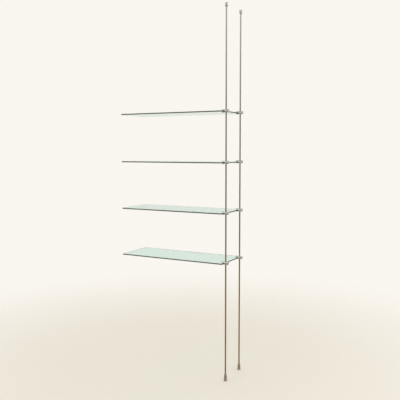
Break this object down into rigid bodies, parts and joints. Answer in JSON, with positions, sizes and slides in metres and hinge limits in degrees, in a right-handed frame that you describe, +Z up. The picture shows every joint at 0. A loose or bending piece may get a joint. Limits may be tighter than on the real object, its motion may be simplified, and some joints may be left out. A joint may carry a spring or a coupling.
{
  "type": "tension pole shelf unit",
  "caption": "Floor-to-ceiling tension poles with screw-jack feet and ceiling sockets, carrying glass shelves at one end in slotted barrel clamps.",
  "frame": {"origin": "on the floor, under the middle of the whole unit's length and depth", "axes": "+Z up the poles, +X along the shelves towards the poles, +Y from the front pole towards the wall"},
  "size_m": [0.8298, 0.3, 2.5],
  "materials": {
    "pole_steel": "satin drawn steel, brushed along the pole",
    "fitting_steel": "fine turned satin",
    "clamp_chrome": "polished plate over a turned barrel",
    "screw_steel": "plain turned steel",
    "shelf_glass": "clear float glass with ground and polished greenish edges",
    "liner_rubber": "soft grey liner strip",
    "pad_rubber": "matte moulded rubber"
  },
  "bodies": {
    "root": {"front_pole": "pole_steel", "rear_pole": "pole_steel", "front_ceiling_socket": "fitting_steel", "rear_ceiling_socket": "fitting_steel", "front_ceiling_grub_screw": "screw_steel", "rear_ceiling_grub_screw": "screw_steel", "front_ceiling_pad": "pad_rubber", "rear_ceiling_pad": "pad_rubber", "front_jack_stud": "screw_steel", "rear_jack_stud": "screw_steel"},
    "front_foot": {"front_foot_plate": "fitting_steel", "front_floor_pad": "pad_rubber"},
    "rear_foot": {"rear_foot_plate": "fitting_steel", "rear_floor_pad": "pad_rubber"},
    "front_jack": {"front_jack_sleeve": "fitting_steel"},
    "rear_jack": {"rear_jack_sleeve": "fitting_steel"},
    "shelf_1": {"shelf_1_glass": "shelf_glass", "shelf_1_front_clamp": "clamp_chrome", "shelf_1_front_liner": "liner_rubber", "shelf_1_rear_clamp": "clamp_chrome", "shelf_1_rear_liner": "liner_rubber"},
    "shelf_2": {"shelf_2_glass": "shelf_glass", "shelf_2_front_clamp": "clamp_chrome", "shelf_2_front_liner": "liner_rubber", "shelf_2_rear_clamp": "clamp_chrome", "shelf_2_rear_liner": "liner_rubber"},
    "shelf_3": {"shelf_3_glass": "shelf_glass", "shelf_3_front_clamp": "clamp_chrome", "shelf_3_front_liner": "liner_rubber", "shelf_3_rear_clamp": "clamp_chrome", "shelf_3_rear_liner": "liner_rubber"},
    "shelf_4": {"shelf_4_glass": "shelf_glass", "shelf_4_front_clamp": "clamp_chrome", "shelf_4_front_liner": "liner_rubber", "shelf_4_rear_clamp": "clamp_chrome", "shelf_4_rear_liner": "liner_rubber"},
    "shelf_1_front_lock": {"shelf_1_front_lock_screw": "screw_steel"},
    "shelf_1_rear_lock": {"shelf_1_rear_lock_screw": "screw_steel"},
    "shelf_2_front_lock": {"shelf_2_front_lock_screw": "screw_steel"},
    "shelf_2_rear_lock": {"shelf_2_rear_lock_screw": "screw_steel"},
    "shelf_3_front_lock": {"shelf_3_front_lock_screw": "screw_steel"},
    "shelf_3_rear_lock": {"shelf_3_rear_lock_screw": "screw_steel"},
    "shelf_4_front_lock": {"shelf_4_front_lock_screw": "screw_steel"},
    "shelf_4_rear_lock": {"shelf_4_rear_lock_screw": "screw_steel"},
    "shelf_1_front_grip": {"shelf_1_front_glass_screw": "screw_steel"},
    "shelf_1_rear_grip": {"shelf_1_rear_glass_screw": "screw_steel"},
    "shelf_2_front_grip": {"shelf_2_front_glass_screw": "screw_steel"},
    "shelf_2_rear_grip": {"shelf_2_rear_glass_screw": "screw_steel"},
    "shelf_3_front_grip": {"shelf_3_front_glass_screw": "screw_steel"},
    "shelf_3_rear_grip": {"shelf_3_rear_glass_screw": "screw_steel"},
    "shelf_4_front_grip": {"shelf_4_front_glass_screw": "screw_steel"},
    "shelf_4_rear_grip": {"shelf_4_rear_glass_screw": "screw_steel"}
  },
  "joints": [
    {"name": "shelf_1_height", "type": "slide", "parent": "root", "child": "shelf_1", "axis": [0, 0, 1], "range_m": [-0.748, 0.155]},
    {"name": "shelf_2_height", "type": "slide", "parent": "root", "child": "shelf_2", "axis": [0, 0, 1], "range_m": [-0.155, 0.155]},
    {"name": "shelf_3_height", "type": "slide", "parent": "root", "child": "shelf_3", "axis": [0, 0, 1], "range_m": [-0.155, 0.155]},
    {"name": "shelf_4_height", "type": "slide", "parent": "root", "child": "shelf_4", "axis": [0, 0, 1], "range_m": [-0.155, 0.647]},
    {"name": "front_foot_lift", "type": "slide", "parent": "root", "child": "front_foot", "axis": [0, 0, 1], "range_m": [0, 0.007]},
    {"name": "rear_foot_lift", "type": "slide", "parent": "root", "child": "rear_foot", "axis": [0, 0, 1], "range_m": [0, 0.007]},
    {"name": "front_jack_turn", "type": "hinge", "parent": "front_foot", "child": "front_jack", "pos_m": [0.3951, -0.1125, 0.02], "axis": [0, 0, 1], "range_deg": [0, 2520]},
    {"name": "rear_jack_turn", "type": "hinge", "parent": "rear_foot", "child": "rear_jack", "pos_m": [0.3951, 0.1125, 0.02], "axis": [0, 0, 1], "range_deg": [0, 2520]},
    {"name": "shelf_1_front_lock_turn", "type": "hinge", "parent": "shelf_1", "child": "shelf_1_front_lock", "pos_m": [0.4101, -0.1125, 0.8095], "axis": [1, 0, 0], "range_deg": [0, 540]},
    {"name": "shelf_1_rear_lock_turn", "type": "hinge", "parent": "shelf_1", "child": "shelf_1_rear_lock", "pos_m": [0.4101, 0.1125, 0.8095], "axis": [1, 0, 0], "range_deg": [0, 540]},
    {"name": "shelf_2_front_lock_turn", "type": "hinge", "parent": "shelf_2", "child": "shelf_2_front_lock", "pos_m": [0.4101, -0.1125, 1.1445], "axis": [1, 0, 0], "range_deg": [0, 540]},
    {"name": "shelf_2_rear_lock_turn", "type": "hinge", "parent": "shelf_2", "child": "shelf_2_rear_lock", "pos_m": [0.4101, 0.1125, 1.1445], "axis": [1, 0, 0], "range_deg": [0, 540]},
    {"name": "shelf_3_front_lock_turn", "type": "hinge", "parent": "shelf_3", "child": "shelf_3_front_lock", "pos_m": [0.4101, -0.1125, 1.4795], "axis": [1, 0, 0], "range_deg": [0, 540]},
    {"name": "shelf_3_rear_lock_turn", "type": "hinge", "parent": "shelf_3", "child": "shelf_3_rear_lock", "pos_m": [0.4101, 0.1125, 1.4795], "axis": [1, 0, 0], "range_deg": [0, 540]},
    {"name": "shelf_4_front_lock_turn", "type": "hinge", "parent": "shelf_4", "child": "shelf_4_front_lock", "pos_m": [0.4101, -0.1125, 1.8145], "axis": [1, 0, 0], "range_deg": [0, 540]},
    {"name": "shelf_4_rear_lock_turn", "type": "hinge", "parent": "shelf_4", "child": "shelf_4_rear_lock", "pos_m": [0.4101, 0.1125, 1.8145], "axis": [1, 0, 0], "range_deg": [0, 540]},
    {"name": "shelf_1_front_grip_turn", "type": "hinge", "parent": "shelf_1", "child": "shelf_1_front_grip", "pos_m": [0.3756, -0.1125, 0.8], "axis": [0, 0, -1], "range_deg": [0, 540]},
    {"name": "shelf_1_rear_grip_turn", "type": "hinge", "parent": "shelf_1", "child": "shelf_1_rear_grip", "pos_m": [0.3756, 0.1125, 0.8], "axis": [0, 0, -1], "range_deg": [0, 540]},
    {"name": "shelf_2_front_grip_turn", "type": "hinge", "parent": "shelf_2", "child": "shelf_2_front_grip", "pos_m": [0.3756, -0.1125, 1.135], "axis": [0, 0, -1], "range_deg": [0, 540]},
    {"name": "shelf_2_rear_grip_turn", "type": "hinge", "parent": "shelf_2", "child": "shelf_2_rear_grip", "pos_m": [0.3756, 0.1125, 1.135], "axis": [0, 0, -1], "range_deg": [0, 540]},
    {"name": "shelf_3_front_grip_turn", "type": "hinge", "parent": "shelf_3", "child": "shelf_3_front_grip", "pos_m": [0.3756, -0.1125, 1.47], "axis": [0, 0, -1], "range_deg": [0, 540]},
    {"name": "shelf_3_rear_grip_turn", "type": "hinge", "parent": "shelf_3", "child": "shelf_3_rear_grip", "pos_m": [0.3756, 0.1125, 1.47], "axis": [0, 0, -1], "range_deg": [0, 540]},
    {"name": "shelf_4_front_grip_turn", "type": "hinge", "parent": "shelf_4", "child": "shelf_4_front_grip", "pos_m": [0.3756, -0.1125, 1.805], "axis": [0, 0, -1], "range_deg": [0, 540]},
    {"name": "shelf_4_rear_grip_turn", "type": "hinge", "parent": "shelf_4", "child": "shelf_4_rear_grip", "pos_m": [0.3756, 0.1125, 1.805], "axis": [0, 0, -1], "range_deg": [0, 540]}
  ],
  "couplings": [
    {"joint": "front_jack_turn", "follows": "front_foot_lift", "rad_per_m": 6283.2},
    {"joint": "rear_jack_turn", "follows": "rear_foot_lift", "rad_per_m": 6283.2}
  ]
}
